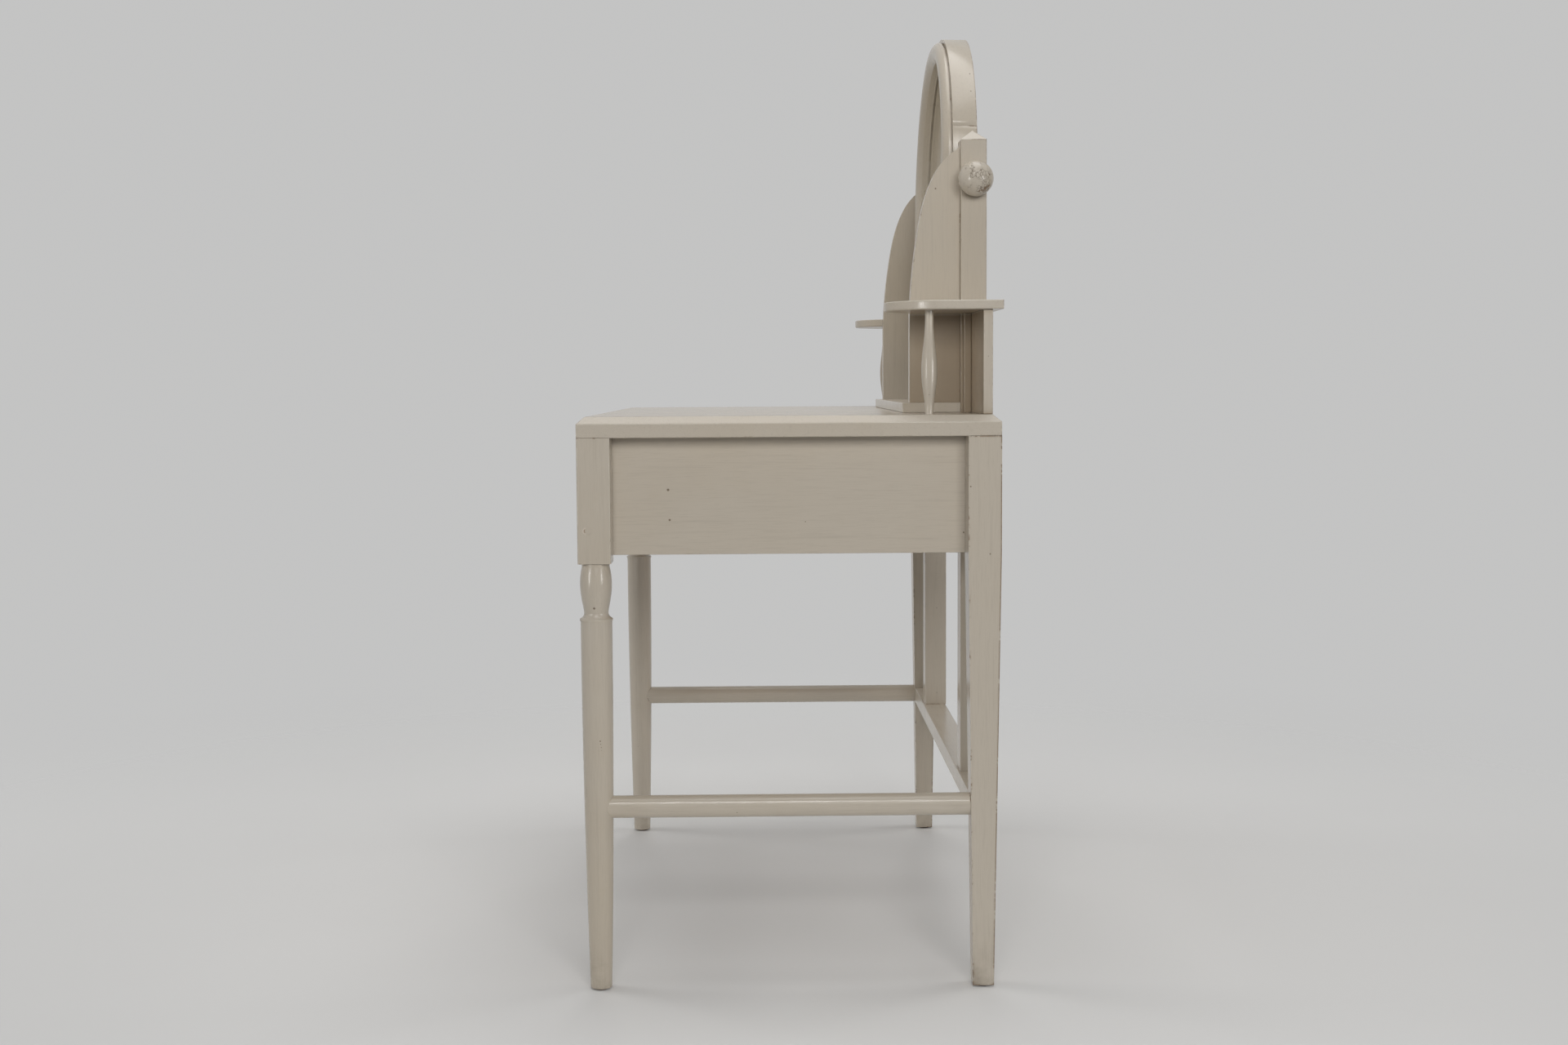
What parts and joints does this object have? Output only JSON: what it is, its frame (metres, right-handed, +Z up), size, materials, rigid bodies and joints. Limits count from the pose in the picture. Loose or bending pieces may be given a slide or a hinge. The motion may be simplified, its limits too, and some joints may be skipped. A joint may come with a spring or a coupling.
{
  "type": "dressing table",
  "caption": "Cream-painted wooden dressing table with turned front legs, stretchers, drawers, end shelves on balusters and an arched mirror that tilts between posts.",
  "frame": {"origin": "on the floor, under the middle of the whole object's bounding box", "axes": "+Z up, front with the drawers towards -Y, +X to the right as seen from the front"},
  "size_m": [0.92, 0.5912, 1.3369],
  "materials": {
    "cream_paint": "semi-gloss paint",
    "bare_wood": "raw",
    "mirror_glass": "silvered",
    "brass": "dull",
    "steel": "dull",
    "dark_metal": "worn"
  },
  "bodies": {
    "table": {"table_top": "cream_paint", "front_leg_left": "cream_paint", "front_leg_right": "cream_paint", "rear_leg_left": "cream_paint", "rear_leg_right": "cream_paint", "side_apron_left": "cream_paint", "side_apron_right": "cream_paint", "back_apron": "cream_paint", "front_top_rail": "cream_paint", "front_bottom_rail": "cream_paint", "drawer_divider": "cream_paint", "rail_pegs": "cream_paint", "side_stretcher_left": "cream_paint", "side_stretcher_right": "cream_paint", "rear_stretcher": "cream_paint", "mirror_post_left": "cream_paint", "mirror_post_right": "cream_paint", "plinth": "cream_paint", "side_board_left": "cream_paint", "side_board_right": "cream_paint", "back_panel_left": "cream_paint", "back_panel_right": "cream_paint", "bay_battens": "cream_paint", "end_shelf_left": "cream_paint", "end_shelf_right": "cream_paint", "baluster_left": "cream_paint", "baluster_right": "cream_paint", "pivot_collars": "cream_paint", "drawer_runners": "bare_wood", "drawer_kickers": "bare_wood", "drawer_stops": "bare_wood", "glue_blocks": "bare_wood", "post_screws": "steel", "foot_glides": "dark_metal"},
    "mirror": {"mirror_stile_left": "cream_paint", "mirror_stile_right": "cream_paint", "mirror_crown": "cream_paint", "mirror_bottom_rail": "cream_paint", "bead_arch": "cream_paint", "bead_sides": "cream_paint", "bead_bottom": "cream_paint", "mirror_glass": "mirror_glass", "mirror_back_board": "bare_wood", "back_board_pins": "steel", "pivot_bushes": "brass"},
    "knob_left": {"mirror_knob_left": "cream_paint", "knob_screw_left": "steel"},
    "knob_right": {"mirror_knob_right": "cream_paint", "knob_screw_right": "steel"},
    "drawer_left": {"drawer_front_left": "cream_paint", "drawer_sides_left": "bare_wood", "drawer_back_left": "bare_wood", "drawer_bottom_left": "bare_wood", "drawer_knob_left": "cream_paint"},
    "drawer_right": {"drawer_front_right": "cream_paint", "drawer_sides_right": "bare_wood", "drawer_back_right": "bare_wood", "drawer_bottom_right": "bare_wood", "drawer_knob_right": "cream_paint"}
  },
  "joints": [
    {"name": "mirror_tilt", "type": "hinge", "parent": "table", "child": "mirror", "pos_m": [0, 0.2714, 1.0945], "axis": [1, 0, 0], "range_deg": [-60, 60]},
    {"name": "knob_left_turn", "type": "hinge", "parent": "table", "child": "knob_left", "pos_m": [0, 0.2714, 1.0945], "axis": [1, 0, 0], "range_deg": [-180, 180]},
    {"name": "knob_right_turn", "type": "hinge", "parent": "table", "child": "knob_right", "pos_m": [0, 0.2714, 1.0945], "axis": [1, 0, 0], "range_deg": [-180, 180]},
    {"name": "drawer_left_slide", "type": "slide", "parent": "table", "child": "drawer_left", "axis": [0, -1, 0], "range_m": [0, 0.33]},
    {"name": "drawer_right_slide", "type": "slide", "parent": "table", "child": "drawer_right", "axis": [0, -1, 0], "range_m": [0, 0.33]}
  ]
}
